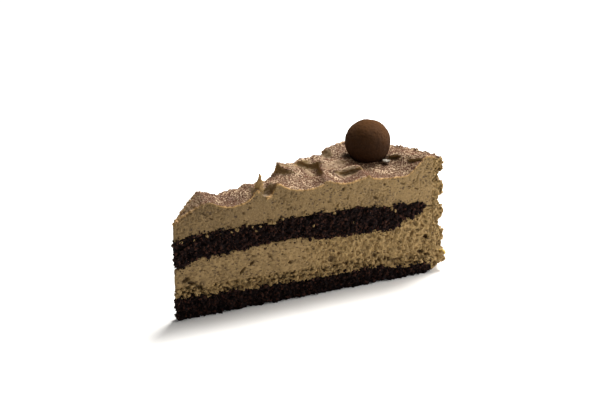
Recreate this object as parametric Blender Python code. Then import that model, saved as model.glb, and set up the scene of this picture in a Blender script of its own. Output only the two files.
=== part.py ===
"""One slice of a layered chocolate mousse torte, standing on its base, with a cocoa truffle on top.

The slice is a sixteenth of a round torte. Its tip points along -X and its combed rim along +X.
Sizes are in millimetres, and each mesh is brought to metres when it is made.
"""

import math
import random

import bmesh
import bpy
import numpy as np
from mathutils import Euler, Matrix, Vector, noise

MM = 0.001

# The torte and the cut
SLICES_IN_TORTE = 16
HALF_ANGLE = math.pi / SLICES_IN_TORTE
TIP_RADIUS = 0.2          # the tip reaches almost to the torte's centre
TIP_HALF_WIDTH = 0.6      # both cuts run this far outside the centre, which leaves a blunt tip
MOUSSE_RADIUS = 135.6     # the ring mould that the mousse set in
GAP = 0.3                 # clearance between neighbouring solids

# Layer boundaries as (distance from the centre, height)
BASE_TOP = ((0, 11.6), (15, 10.4), (60, 9.3), (105, 8.5), (122, 5.8), (138, 5.4))
MIDDLE_FLOOR = (
    (0, 25.8), (5, 25.6), (9, 28.6), (38, 30), (60, 30),
    (83, 27.5), (117, 26), (119, 30), (126.4, 31.2), (129, 32.6), (131.5, 34.6), (138, 34.6),
)
MIDDLE_TOP = (
    (0, 39.6), (8, 41.2), (90, 41.8), (107, 39.6),
    (125, 39), (128, 38.7), (130, 37.4), (133, 35.8), (138, 35.4),
)
MIDDLE_SPONGE_END = 132.6
LAYER_STEPS = 66          # facets from the tip to the rim
LAYER_SPOKES = 4          # facets across the slice
CRAG_HEIGHT = 0.75        # how far crumbs push a layer's edge up or down
CRAG_LENGTH = 4.2
RIM_CALM = 14.0           # over this last stretch the middle sponge's edges even out
COARSE_SHARE = 1.3        # unevenness is made of two sizes of noise
FINE_SHARE = 0.8
FINE_RATIO = 2.3          # how much smaller the fine noise is than the coarse one
LAYER_SHIFT = 7.3         # each surface takes its noise from its own level
FINE_SHIFT = 3.0
TOP_LAYER = 4

# The combed coat round the rim
COMB_NOTCH_RADIUS = 137.0
COMB_DEPTH = 4.2
COMB_PITCH = 12.2
COMB_FIRST_NOTCH = 2.1    # height of the lowest notch
COMB_CREST_SHARE = 0.36   # where a ridge's crest lies between its lower and upper notch
COMB_POINTS = 7           # points on one ridge
COMB_SPOKES = 22
COMB_BLUNTNESS = 0.9
COMB_TOP = 50.0           # the coat's inner wall ends here, inside the top cream
FOOT_RADIUS = 136.6
FOOT_HEIGHT = 1.9         # the coat ends just above the table
FOOT_FILL = 0.8           # share of a ridge's depth to which the lowest groove is filled
FOOT_FILL_BAND = (4.0, 18.0)
FOOT_FILL_FADE = 2.5
COMB_FLARE = 3.0          # how much deeper the lowest ridge is
SHOULDER = ((141.0, 56.1), (140.3, 58.3), (138.2, 60.1))    # as it is at the front cut
SHOULDER_DROP = 5.6       # how much lower the shoulder is at the back cut
SHOULDER_SAG = 0.8
SAG_PER_SLICE = 3.0       # how often the sag changes over half the slice
RIDGE_WAVER = 0.55        # roughness of a ridge, out and in
WAVER_PER_SLICE = 5.5
WAVER_LENGTH = 3.1        # the same along the height
RIDGE_DRIFT = 1.0         # ridges run up and down this much
DRIFT_PER_SLICE = 2.2
DRIFT_LENGTH = 40.0

# The wavy top
TOP_LEVEL = 54.1
TIP_LEVEL = 45.4
TIP_SLOPE = 0.6
TIP_BEND = 1.5            # how sharply the slope turns into the level top
RIM_LIP_RISE = 5.8        # at the front cut
RIM_LIP_START = 120.0
RIM_LIP_WIDTH = 11.0
TOP_GRID = 0.9            # spacing of the grid that the knife strokes are worked out on
TOP_GRID_MARGIN = 2.5
TOP_GRID_END = 143.0
TOP_GRID_HALF_WIDTH = 31.0
TOP_KEPT_FACES = 0.34     # share of the grid's faces left where the surface is calm
BLOCK_FLOOR = 30.0
MOULD_ROOF = 90.0

# Palette-knife crests: start and end in plan, the rise at each, and how fast the two sides fall away.
# The steep side lies to the left, going from start to end.
CRESTS = {
    "tip_bulge": ((-1.0, 1.5), (16.0, 5.2), 2.6, 2.6, 3.0, 2.6),
    "tip_hump": ((15.5, -4.0), (17.0, 5.5), 0.3, 5.0, 3.6, 7.0),
    "second_wave": ((39.6, -9.5), (46.0, 8.5), 4.8, 0.6, 1.3, 4.0),
    "behind_scoop": ((50.0, -11.5), (51.0, 0.0), 5.4, 1.5, 1.6, 5.0),
    "curl_prow": ((76.0, 3.0), (66.6, 13.4), 1.2, 4.6, 0.7, 4.0),
    "long_curl": ((98.0, 17.5), (66.0, 13.0), 2.6, 2.8, 1.5, 4.0),
    "cross_ridge": ((74.6, -15.5), (92.0, 14.0), 3.4, 1.6, 2.2, 4.0),
    "middle_wave": ((107.0, 3.0), (89.0, 8.5), 3.0, 2.4, 2.0, 5.0),
    "front_flap": ((102.0, -9.6), (86.5, -6.4), 2.0, 2.4, 0.9, 3.4),
    "front_edge_wave": ((104.0, -6.0), (97.6, -20.5), 0.8, 2.4, 0.9, 6.5),
    "back_shoulder": ((121.0, 25.5), (101.0, 18.0), 4.8, 4.7, 5.0, 8.0),
    "truffle_flap": ((125.6, -11.5), (124.0, -1.0), 1.2, 1.0, 0.7, 4.0),
    "corner_flap": ((129.6, -27.0), (126.6, -13.0), 1.5, 1.0, 0.7, 4.0),
}
CREST_FADE = 0.22         # share of a crest's length over which each end dies away

# Hollows left by the knife: middle in plan, half length, half width, turn in degrees, depth
HOLLOWS = {
    "tip_trough": ((29.5, -3.5), 11.0, 9.0, 10, 2.6),
    "back_trough": ((57.0, 12.0), 10.0, 6.0, 11, 2.0),
    "curl_floor": ((82.0, 7.0), 11.0, 6.5, 12, 2.2),
    "wave_floor": ((93.0, 0.5), 10.0, 4.5, -15, 1.8),
    "flap_floor": ((90.0, -12.5), 11.0, 5.0, -8, 1.4),
    "rim_trough": ((113.5, -15.0), 15.0, 13.0, -15, 1.6),
    "back_dimple": ((103.5, 15.0), 4.0, 3.0, 20, 1.8),
}
SCOOP = ((46.2, -9.4), 4.9, 3.4, -11, 2.0)
SCOOP_STEEPNESS = 1.8     # its walls reach the flat bottom this much sooner than a hollow's
SPIKE_PLACE = (43.0, -7.9)
SPIKE_FOOT = 56.6
SPIKE_HEIGHT = 9.2
SPIKE_RADIUS = 1.25
SPIKE_TIP_RADIUS = 0.2
SPIKE_LEAN = (4, -7)      # in degrees, about the length and the width of the slice
SPIKE_SIDES = 7
SWELL_HEIGHT = 0.45       # gentle unevenness of the whole top
SWELL_LENGTH = 9.0

# The truffle and the dab that holds it
TRUFFLE_RADIUS = 11.4
TRUFFLE_PLACE = (117.9, 5.8)
TRUFFLE_CENTRE_HEIGHT = 62.8
TRUFFLE_SEGMENTS = 24
TRUFFLE_RINGS = 14
TRUFFLE_DENT = 0.012      # share of the radius by which its dents go in
DENT_LENGTH = 8.0
DAB_OFFSET = (1.8, -12.0)
DAB_RADIUS = 1.8
DAB_HEIGHT = 1.5
DAB_SEGMENTS = 14
DAB_RINGS = 8
DAB_REACH = 0.8           # share of its radius over which the cream below is looked at

# Flaked almonds pressed into the foot of the comb
ALMOND_COUNT = 13
ALMOND_RADIUS = 2.5
ALMOND_THICKNESS = 1.0
ALMOND_NARROW = 0.72      # its width as a share of its length
ALMOND_TAPER = 0.82
ALMOND_SIDES = 8
ALMOND_STAND = 0.1        # its middle lies this far out of the coat
ALMOND_SPREAD = 0.93      # the outermost flakes' share of the way to the cuts
ALMOND_SHIFT = 0.04
ALMOND_ROWS = (10.2, 5.4, 14.2)
ALMOND_ROW_SHIFT = 0.8
ALMOND_SIZES = (0.85, 1.15)
ALMOND_TURNS = ((-35, 35), (50, 95), (-25, 25))    # in degrees about the three axes
ALMOND_SEED = 4

COLOURS = {
    "chocolate_sponge": (0.012, 0.007, 0.006),
    "mousse": (0.215, 0.140, 0.065),
    "dusted_cream": (0.270, 0.175, 0.095),
    "cocoa_truffle": (0.060, 0.026, 0.013),
    "white_cream": (0.500, 0.440, 0.340),
}


def clear_scene():
    for old in list(bpy.data.objects):
        bpy.data.objects.remove(old, do_unlink=True)


def material(name):
    """A matt Principled finish, made once for each name."""
    made = bpy.data.materials.get(name)
    if made is None:
        made = bpy.data.materials.new(name)
        made.use_nodes = True
        shader = made.node_tree.nodes["Principled BSDF"]
        shader.inputs["Base Color"].default_value = (*COLOURS[name], 1)
        shader.inputs["Roughness"].default_value = 0.85
        shader.inputs["Metallic"].default_value = 0
    return made


def object_from(name, points, faces, finish):
    """A named mesh object from points in millimetres."""
    mesh = bpy.data.meshes.new(name)
    mesh.from_pydata([Vector(p) * MM for p in points], [], faces)
    mesh.materials.append(material(finish))
    made = bpy.data.objects.new(name, mesh)
    bpy.context.collection.objects.link(made)
    return made


def apply_modifiers(obj):
    """Replaces the object's mesh by its evaluated one."""
    graph = bpy.context.evaluated_depsgraph_get()
    mesh = bpy.data.meshes.new_from_object(obj.evaluated_get(graph))
    obj.modifiers.clear()
    obj.data = mesh


def boolean(obj, operation, other=None, collection=None):
    """Applies an exact Boolean and removes what it used."""
    step = obj.modifiers.new(operation.lower(), "BOOLEAN")
    step.operation = operation
    step.solver = "EXACT"
    if collection is None:
        step.object = other
        used = [other]
    else:
        step.operand_type = "COLLECTION"
        step.collection = collection
        used = list(collection.objects)
    apply_modifiers(obj)
    for old in used:
        bpy.data.objects.remove(old, do_unlink=True)


def level_at(profile, radius):
    """Height of a layer boundary at a distance from the centre."""
    return float(np.interp(radius, *zip(*profile)))


def polar(radius, share):
    """Plan position at a radius, with share -1 on the front cut and +1 on the back cut."""
    angle = share * HALF_ANGLE
    return radius * math.cos(angle), radius * math.sin(angle) + share * TIP_HALF_WIDTH


def unevenness(x, y, length, layer):
    """Coarse and fine noise over the plan, its own for each layer."""
    level = layer * LAYER_SHIFT
    coarse = noise.noise(Vector((x / length, y / length, level)))
    size = length / FINE_RATIO
    fine = noise.noise(Vector((x / size, y / size, level + FINE_SHIFT)))
    return COARSE_SHARE * coarse + FINE_SHARE * fine


def crag(radius, share, layer):
    """How far the crumb stands above or below a layer boundary's even level."""
    return CRAG_HEIGHT * unevenness(*polar(radius, share), CRAG_LENGTH, layer)


def calm(radius):
    return min(1.0, (MOUSSE_RADIUS - radius) / RIM_CALM)


def base_top(radius, share):
    return level_at(BASE_TOP, radius) + crag(radius, share, 1)


def middle_floor(radius, share):
    return level_at(MIDDLE_FLOOR, radius) + crag(radius, share, 2) * calm(radius)


def middle_top(radius, share):
    return level_at(MIDDLE_TOP, radius) + crag(radius, share, 3) * calm(radius)


def wedge_layer(name, floor, roof, outer, finish):
    """A closed sector between two height functions, from the tip to an outer radius.

    All layers share their stations along the slice, so that neighbours' facets stay parallel.
    """
    pitch = (MOUSSE_RADIUS - TIP_RADIUS) / LAYER_STEPS
    steps = round((outer - TIP_RADIUS) / pitch)
    radii = [TIP_RADIUS + pitch * i for i in range(steps)] + [outer]
    shares = [-1 + 2 * j / LAYER_SPOKES for j in range(LAYER_SPOKES + 1)]
    rows = len(shares)
    points = [(*polar(r, s), floor(r, s)) for r in radii for s in shares]
    points += [(*polar(r, s), roof(r, s)) for r in radii for s in shares]
    top = len(radii) * rows
    faces = []
    for i in range(steps):
        for j in range(LAYER_SPOKES):
            near, far = i * rows + j, (i + 1) * rows + j
            faces += [(near, near + 1, far + 1), (near, far + 1, far)]
            faces += [(top + near, top + far + 1, top + near + 1), (top + near, top + far, top + far + 1)]
        front, back = i * rows, i * rows + LAYER_SPOKES
        faces += [(front, front + rows, top + front + rows, top + front)]
        faces += [(back + rows, back, top + back, top + back + rows)]
    last = steps * rows
    for j in range(LAYER_SPOKES):
        faces += [(j + 1, j, top + j, top + j + 1)]
        faces += [(last + j, last + j + 1, top + last + j + 1, top + last + j)]
    return object_from(name, points, faces, finish)


def crest_rise(x, y, start, end, rise_start, rise_end, steep, gentle):
    """Height that one knife crest adds over the plan."""
    along = np.array(end) - np.array(start)
    length = np.hypot(*along)
    along = along / length
    share = ((x - start[0]) * along[0] + (y - start[1]) * along[1]) / length
    left = (y - start[1]) * along[0] - (x - start[0]) * along[1]
    side = np.where(left > 0, np.exp(-np.abs(left) / steep), 1 / (1 + (left / gentle) ** 2))
    fade = smooth(share / CREST_FADE + 0.5) * smooth((1 - share) / CREST_FADE + 0.5)
    return (rise_start + (rise_end - rise_start) * np.clip(share, 0, 1)) * side * fade


def hollow_depth(x, y, middle, length, width, turn, depth):
    """Depth that one knife hollow takes away over the plan."""
    c, s = math.cos(math.radians(turn)), math.sin(math.radians(turn))
    u = ((x - middle[0]) * c + (y - middle[1]) * s) / length
    v = (-(x - middle[0]) * s + (y - middle[1]) * c) / width
    return depth * np.clip(1 - u * u - v * v, 0, 1) ** 1.5


def smooth(t):
    t = np.clip(t, 0, 1)
    return t * t * (3 - 2 * t)


def swell(x, y):
    """Gentle unevenness of the top, over whole arrays of places."""
    return SWELL_HEIGHT * np.vectorize(unevenness)(x, y, SWELL_LENGTH, TOP_LAYER)


def top_height(x, y):
    """Height of the wavy top over the plan."""
    radius = np.hypot(x, y)
    slope = TIP_LEVEL + TIP_SLOPE * radius
    height = TOP_LEVEL - np.log1p(np.exp((TOP_LEVEL - slope) * TIP_BEND)) / TIP_BEND
    share = np.arctan2(y, np.maximum(x, 1)) / HALF_ANGLE
    lip = RIM_LIP_RISE - SHOULDER_DROP * (1 + share) / 2
    height += lip * smooth((radius - RIM_LIP_START) / RIM_LIP_WIDTH)
    for crest in CRESTS.values():
        height += crest_rise(x, y, *crest)
    for hollow in HOLLOWS.values():
        height -= hollow_depth(x, y, *hollow)
    height -= np.minimum(hollow_depth(x, y, *SCOOP) * SCOOP_STEEPNESS, SCOOP[-1])
    height += swell(x, y)
    away = np.hypot(x - TRUFFLE_PLACE[0], y - TRUFFLE_PLACE[1])
    reach = TRUFFLE_RADIUS + GAP
    under = TRUFFLE_CENTRE_HEIGHT - np.sqrt(np.clip(reach**2 - away**2, 0, None))
    return np.where(away < reach, np.minimum(height, under), height)


def top_block():
    """The cream from below the middle sponge up to the wavy top, before the slice is cut from it."""
    xs = np.arange(-TOP_GRID_MARGIN, TOP_GRID_END, TOP_GRID)
    ys = np.arange(-TOP_GRID_HALF_WIDTH, TOP_GRID_HALF_WIDTH + TOP_GRID, TOP_GRID)
    x, y = np.meshgrid(xs, ys, indexing="ij")
    z = top_height(x, y)
    wide = np.abs(y) < x * math.tan(HALF_ANGLE) + TOP_GRID_MARGIN
    index = np.full(x.shape, -1)
    index[wide] = np.arange(wide.sum())
    points = np.stack([x[wide], y[wide], z[wide]], 1)
    faces = []
    for i in range(len(xs) - 1):
        for j in range(len(ys) - 1):
            corners = [int(index[a]) for a in ((i, j), (i + 1, j), (i + 1, j + 1), (i, j + 1))]
            if min(corners) >= 0:
                faces.append(corners)
    block = object_from("top_block", points.tolist(), faces, "dusted_cream")
    thin = block.modifiers.new("calm areas", "DECIMATE")
    thin.ratio = TOP_KEPT_FACES
    apply_modifiers(block)
    close_downwards(block, BLOCK_FLOOR)
    return block


def close_downwards(obj, level):
    """Turns an open height surface into a closed block with a flat underside."""
    work = bmesh.new()
    work.from_mesh(obj.data)
    bmesh.ops.delete(work, geom=[v for v in work.verts if not v.link_faces], context="VERTS")
    rim = [e for e in work.edges if e.is_boundary]
    wall = bmesh.ops.extrude_edge_only(work, edges=rim)["geom"]
    for vert in (v for v in wall if isinstance(v, bmesh.types.BMVert)):
        vert.co.z = level * MM
    bmesh.ops.holes_fill(work, edges=[e for e in work.edges if e.is_boundary], sides=0)
    bmesh.ops.recalc_face_normals(work, faces=work.faces)
    work.to_mesh(obj.data)
    work.free()


def comb_radius(height, share):
    """Radius of the combed coat: blunt saw-tooth ridges that waver a little round the rim."""
    drift = RIDGE_DRIFT * noise.noise(Vector((share * DRIFT_PER_SLICE, height / DRIFT_LENGTH, 2)))
    turn = ((height + drift - COMB_FIRST_NOTCH) / COMB_PITCH) % 1.0
    rising = turn / COMB_CREST_SHARE
    falling = (1 - turn) / (1 - COMB_CREST_SHARE)
    bulge = math.sin(min(rising, falling) * math.pi / 2) ** COMB_BLUNTNESS
    low, high = FOOT_FILL_BAND
    filled = smooth((height - low) / FOOT_FILL_FADE) * smooth((high - height) / FOOT_FILL_FADE)
    bulge = max(bulge, FOOT_FILL * float(filled))
    rough = noise.noise(Vector((share * WAVER_PER_SLICE, height / WAVER_LENGTH, 9)))
    depth = COMB_DEPTH + COMB_FLARE * max(0.0, 1 - height / SHOULDER[0][1]) ** 2
    return COMB_NOTCH_RADIUS + depth * bulge + RIDGE_WAVER * rough


def comb_ring():
    """The combed coat round the rim, from the foot to the shoulder."""
    step = COMB_PITCH / COMB_POINTS
    heights = []
    height = COMB_FIRST_NOTCH + step / 2
    while height < SHOULDER[0][1] - step / 2:
        heights.append(height)
        height += step
    inner = MOUSSE_RADIUS + GAP / 2
    sections = []
    for k in range(COMB_SPOKES + 1):
        share = -1 + 2 * k / COMB_SPOKES
        sag = SHOULDER_SAG * noise.noise(Vector((share * SAG_PER_SLICE, 4, 1)))
        lift = (sag - SHOULDER_DROP * (1 + share) / 2) / SHOULDER[0][1]
        outline = [(inner, FOOT_HEIGHT), (FOOT_RADIUS, FOOT_HEIGHT)]
        outline += [(comb_radius(h, share), h * (1 + lift)) for h in heights]
        outline += [(r, h * (1 + lift)) for r, h in SHOULDER]
        outline += [(inner, COMB_TOP)]
        sections.append([(*polar(r, share), h) for r, h in outline])
    count = len(sections[0])
    points = [p for section in sections for p in section]
    faces = [tuple(range(count)), tuple(reversed(range(len(points) - count, len(points))))]
    for k in range(COMB_SPOKES):
        for m in range(count):
            a, b = k * count + m, k * count + (m + 1) % count
            faces += [(a, a + count, b), (b, a + count, b + count)]
    ring = object_from("comb_ring", points, faces, "dusted_cream")
    face_outwards(ring)
    return ring


def face_outwards(obj):
    work = bmesh.new()
    work.from_mesh(obj.data)
    bmesh.ops.recalc_face_normals(work, faces=work.faces)
    work.to_mesh(obj.data)
    work.free()


def top_mould():
    """The space that the top cream fills: over the middle sponge, between the cuts, inside the shoulder."""
    return wedge_layer(
        "top_mould",
        lambda r, s: middle_top(r, s) + GAP / 2,
        lambda r, s: MOULD_ROOF,
        SHOULDER[2][0],
        "dusted_cream",
    )


def spike():
    """The thin tongue that the knife pulled up beside the scoop."""
    place = Matrix.Translation(Vector((*SPIKE_PLACE, SPIKE_FOOT + SPIKE_HEIGHT / 2)) * MM)
    lean = Euler((math.radians(SPIKE_LEAN[0]), math.radians(SPIKE_LEAN[1]), 0)).to_matrix().to_4x4()
    work = bmesh.new()
    bmesh.ops.create_cone(
        work,
        cap_ends=True,
        segments=SPIKE_SIDES,
        radius1=SPIKE_RADIUS * MM,
        radius2=SPIKE_TIP_RADIUS * MM,
        depth=SPIKE_HEIGHT * MM,
        matrix=place @ lean,
    )
    mesh = bpy.data.meshes.new("spike")
    work.to_mesh(mesh)
    work.free()
    made = bpy.data.objects.new("spike", mesh)
    bpy.context.collection.objects.link(made)
    return made


def almond_places():
    """Place, turn and size of each almond flake, spread evenly along the foot of the rim."""
    draw = random.Random(ALMOND_SEED)
    places = []
    for k in range(ALMOND_COUNT):
        share = ALMOND_SPREAD * (2 * k / (ALMOND_COUNT - 1) - 1)
        share += draw.uniform(-ALMOND_SHIFT, ALMOND_SHIFT)
        height = ALMOND_ROWS[k % 3] + draw.uniform(-ALMOND_ROW_SHIFT, ALMOND_ROW_SHIFT)
        size = draw.uniform(*ALMOND_SIZES)
        turn = [draw.uniform(*limits) for limits in ALMOND_TURNS]
        places.append((share, height, size, turn))
    return places


def almonds():
    """Eight-sided flakes, half sunk in the coat."""
    flakes = []
    for number, (share, height, size, turn) in enumerate(almond_places()):
        radius = comb_radius(height, share) + ALMOND_STAND
        place = Matrix.Translation(Vector((*polar(radius, share), height)) * MM)
        face = Euler([math.radians(a) for a in turn]).to_matrix().to_4x4()
        shape = Matrix.Diagonal((1, ALMOND_NARROW, 1, 1))
        work = bmesh.new()
        bmesh.ops.create_cone(
            work,
            cap_ends=True,
            segments=ALMOND_SIDES,
            radius1=ALMOND_RADIUS * size * MM,
            radius2=ALMOND_RADIUS * ALMOND_TAPER * size * MM,
            depth=ALMOND_THICKNESS * MM,
            matrix=place @ face @ shape,
        )
        mesh = bpy.data.meshes.new(f"almond_{number}")
        work.to_mesh(mesh)
        work.free()
        flake = bpy.data.objects.new(f"almond_{number}", mesh)
        bpy.context.collection.objects.link(flake)
        flakes.append(flake)
    return flakes


def top_cream():
    """Wavy top and combed rim: one mass of cream, with the almonds fused to it."""
    cream = top_block()
    cream.name = "top_cream"
    boolean(cream, "INTERSECT", other=top_mould())
    helpers = bpy.data.collections.new("fused")
    bpy.context.scene.collection.children.link(helpers)
    for piece in [comb_ring(), spike(), *almonds()]:
        bpy.context.collection.objects.unlink(piece)
        helpers.objects.link(piece)
    boolean(cream, "UNION", collection=helpers)
    bpy.data.collections.remove(helpers)
    cream.data.materials.clear()
    cream.data.materials.append(material("dusted_cream"))
    return cream


def truffle():
    """A hand-rolled ball, nearly round, dusted with cocoa."""
    work = bmesh.new()
    radius = TRUFFLE_RADIUS * MM
    bmesh.ops.create_uvsphere(work, u_segments=TRUFFLE_SEGMENTS, v_segments=TRUFFLE_RINGS, radius=radius)
    for vert in work.verts:
        dent = noise.noise(vert.co / MM / DENT_LENGTH)
        vert.co *= 1 - TRUFFLE_DENT * abs(dent)
    mesh = bpy.data.meshes.new("truffle")
    work.to_mesh(mesh)
    work.free()
    mesh.shade_smooth()
    mesh.materials.append(material("cocoa_truffle"))
    made = bpy.data.objects.new("truffle", mesh)
    made.location = Vector((*TRUFFLE_PLACE, TRUFFLE_CENTRE_HEIGHT)) * MM
    bpy.context.collection.objects.link(made)
    return made


def truffle_dab():
    """The small dab of white cream that shows beside the truffle's foot."""
    x, y = TRUFFLE_PLACE[0] + DAB_OFFSET[0], TRUFFLE_PLACE[1] + DAB_OFFSET[1]
    reach = DAB_RADIUS * DAB_REACH
    around = [(x + a, y + b) for a in (-reach, 0, reach) for b in (-reach, 0, reach)]
    under = max(float(top_height(np.array(a), np.array(b))) for a, b in around)
    work = bmesh.new()
    bmesh.ops.create_uvsphere(work, u_segments=DAB_SEGMENTS, v_segments=DAB_RINGS, radius=DAB_RADIUS * MM)
    for vert in work.verts:
        vert.co.z *= DAB_HEIGHT / 2 / DAB_RADIUS
    mesh = bpy.data.meshes.new("truffle_dab")
    work.to_mesh(mesh)
    work.free()
    mesh.shade_smooth()
    mesh.materials.append(material("white_cream"))
    made = bpy.data.objects.new("truffle_dab", mesh)
    made.location = Vector((x, y, under + GAP + DAB_HEIGHT / 2)) * MM
    bpy.context.collection.objects.link(made)
    return made


def centre_on_base(objects):
    """Moves everything so that the origin is the middle of the footprint, on the table."""
    bpy.context.view_layer.update()
    corners = [obj.matrix_world @ Vector(c) for obj in objects for c in obj.bound_box]
    low = Vector([min(c[i] for c in corners) for i in range(3)])
    high = Vector([max(c[i] for c in corners) for i in range(3)])
    shift = Vector(((low.x + high.x) / 2, (low.y + high.y) / 2, low.z))
    for obj in objects:
        obj.location -= shift


def main():
    clear_scene()
    half = GAP / 2
    centre_on_base([
        wedge_layer(
            "sponge_base",
            lambda r, s: 0.0,
            lambda r, s: base_top(r, s) - half,
            MOUSSE_RADIUS - half,
            "chocolate_sponge",
        ),
        wedge_layer(
            "mousse_filling",
            lambda r, s: base_top(r, s) + half,
            lambda r, s: middle_floor(r, s) - half,
            MOUSSE_RADIUS - half,
            "mousse",
        ),
        wedge_layer(
            "sponge_middle",
            lambda r, s: middle_floor(r, s) + half,
            lambda r, s: middle_top(r, s) - half,
            MIDDLE_SPONGE_END,
            "chocolate_sponge",
        ),
        top_cream(),
        truffle(),
        truffle_dab(),
    ])


main()
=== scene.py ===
"""Looks of the torte slice: crumbly sponges, cut mousse, a cocoa-dusted top, a combed rim and a truffle."""

import math
import random

import bpy
import numpy as np
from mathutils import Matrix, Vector, noise


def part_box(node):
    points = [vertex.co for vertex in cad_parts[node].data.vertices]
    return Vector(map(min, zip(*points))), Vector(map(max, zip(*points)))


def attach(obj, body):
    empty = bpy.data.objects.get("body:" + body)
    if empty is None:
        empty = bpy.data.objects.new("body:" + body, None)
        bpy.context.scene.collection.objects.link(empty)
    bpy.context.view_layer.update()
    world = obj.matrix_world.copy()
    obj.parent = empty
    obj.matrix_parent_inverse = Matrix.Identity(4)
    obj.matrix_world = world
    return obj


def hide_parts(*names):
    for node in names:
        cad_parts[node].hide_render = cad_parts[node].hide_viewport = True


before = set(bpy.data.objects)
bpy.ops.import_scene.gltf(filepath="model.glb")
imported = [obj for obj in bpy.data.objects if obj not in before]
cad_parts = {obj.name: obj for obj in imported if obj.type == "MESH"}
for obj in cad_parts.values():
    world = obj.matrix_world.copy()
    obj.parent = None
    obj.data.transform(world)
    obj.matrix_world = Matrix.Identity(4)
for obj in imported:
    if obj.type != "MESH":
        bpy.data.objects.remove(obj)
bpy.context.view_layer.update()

MM = 0.001

# The cut of the slice, as the solids have it
HALF_ANGLE = math.pi / 16
TIP_RADIUS = 0.2 * MM
CUT_OFFSET = 0.6 * MM
BASE_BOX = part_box("sponge_base")
CENTRE_X = BASE_BOX[0].x - TIP_RADIUS * math.cos(HALF_ANGLE)    # the torte's centre
CENTRE_Y = (BASE_BOX[0].y + BASE_BOX[1].y) / 2
MOUSSE_RADIUS = 135.6 * MM
COAT_RADIUS = 136.4 * MM      # outside this the cream belongs to the combed coat
RIM_RADIUS = 137.6 * MM
HIDDEN_DEPTH = 8 * MM         # further in than this nothing is ever seen
TOP_LEVELS = (44 * MM, 46 * MM)    # the wavy top lies above these levels
TORN_COAT = (134.5 * MM, 136.5 * MM)    # between these radii the cut turns into the torn coat

# How fine each piece's surface is
SPONGE_VOXEL = 0.42 * MM
MOUSSE_VOXEL = 0.44 * MM
CREAM_VOXEL = 0.48 * MM
TRUFFLE_VOXEL = 0.4 * MM
DAB_VOXEL = 0.2 * MM
TONGUE_VOXEL = 0.2 * MM
ALMOND_VOXEL = 0.22 * MM
WEIGHT_STEPS = 24

# The photograph's view
CAMERA_AZIMUTH = math.radians(-37)
CAMERA_ELEVATION = math.radians(20)
CAMERA_DISTANCE = 0.66
CAMERA_LENS = 80.6
CAMERA_TARGET = Vector((CENTRE_X + 75 * MM, 0, 41 * MM))


# Working on a mesh

def activate(piece):
    bpy.ops.object.select_all(action="DESELECT")
    piece.select_set(True)
    bpy.context.view_layer.objects.active = piece


def apply_modifiers(piece):
    activate(piece)
    for step in list(piece.modifiers):
        bpy.ops.object.modifier_apply(modifier=step.name)


def copy_of(node, name):
    """A merged copy of one solid, for a piece that stands for it."""
    piece = bpy.data.objects.new(name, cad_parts[node].data.copy())
    bpy.context.collection.objects.link(piece)
    activate(piece)
    bpy.ops.object.mode_set(mode="EDIT")
    bpy.ops.mesh.select_all(action="SELECT")
    bpy.ops.mesh.remove_doubles(threshold=1e-6)
    bpy.ops.object.mode_set(mode="OBJECT")
    piece.data.materials.clear()
    return piece


def resurface(piece, size):
    """Covers the piece with an even skin of small faces."""
    step = piece.modifiers.new("even skin", "REMESH")
    step.mode = "VOXEL"
    step.voxel_size = size
    apply_modifiers(piece)


def points_of(piece):
    flat = np.empty(len(piece.data.vertices) * 3, np.float32)
    piece.data.vertices.foreach_get("co", flat)
    return flat.reshape(-1, 3).astype(float)


def normals_of(piece):
    flat = np.empty(len(piece.data.vertices) * 3, np.float32)
    piece.data.vertex_normals.foreach_get("vector", flat)
    return flat.reshape(-1, 3).astype(float)


def place_points(piece, points):
    piece.data.vertices.foreach_set("co", points.astype(np.float32).ravel())
    piece.data.update()


def step_up(value, low, high):
    """0 below low, 1 above high, smooth between; low may be the larger."""
    share = np.clip((value - low) / (high - low), 0, 1)
    return share * share * (3 - 2 * share)


def radius_of(points):
    return np.hypot(points[:, 0] - CENTRE_X, points[:, 1] - CENTRE_Y)


def cut_depths(points):
    """How far each point lies inside the front cut and inside the back cut."""
    sine, cosine = math.sin(HALF_ANGLE), math.cos(HALF_ANGLE)
    along = (points[:, 0] - CENTRE_X) * sine
    across = (points[:, 1] - CENTRE_Y) * cosine
    margin = CUT_OFFSET * cosine
    return along + across + margin, along - across + margin


def facing_cut(normals):
    """How squarely each normal faces out of the front or the back cut."""
    sine, cosine = math.sin(HALF_ANGLE), math.cos(HALF_ANGLE)
    front = -normals[:, 0] * sine - normals[:, 1] * cosine
    back = -normals[:, 0] * sine + normals[:, 1] * cosine
    return np.maximum(front, back)


def on_cut(piece):
    """1 on the two cut faces, 0 elsewhere."""
    front, back = cut_depths(points_of(piece))
    near = step_up(np.minimum(front, back), 1.4 * MM, 0.5 * MM)
    return near * step_up(facing_cut(normals_of(piece)), 0.35, 0.75)


def true_cuts(piece):
    """Lays the cut faces flat again, where the even skin rippled them."""
    points, flat = points_of(piece), on_cut(piece)
    front, back = cut_depths(points)
    for depth, side in ((front, -1), (back, 1)):
        outwards = np.array((-math.sin(HALF_ANGLE), side * math.cos(HALF_ANGLE), 0))
        points += outwards * (depth * flat * step_up(np.abs(depth), 0.5 * MM, 0.3 * MM))[:, None]
    place_points(piece, points)


def near_open(piece, depth):
    """1 at the cuts and at the rim, 0 deeper inside than depth."""
    points = points_of(piece)
    front, back = cut_depths(points)
    inside = np.minimum(np.minimum(front, back), MOUSSE_RADIUS - radius_of(points))
    return step_up(inside, depth, depth * 0.4)


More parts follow.
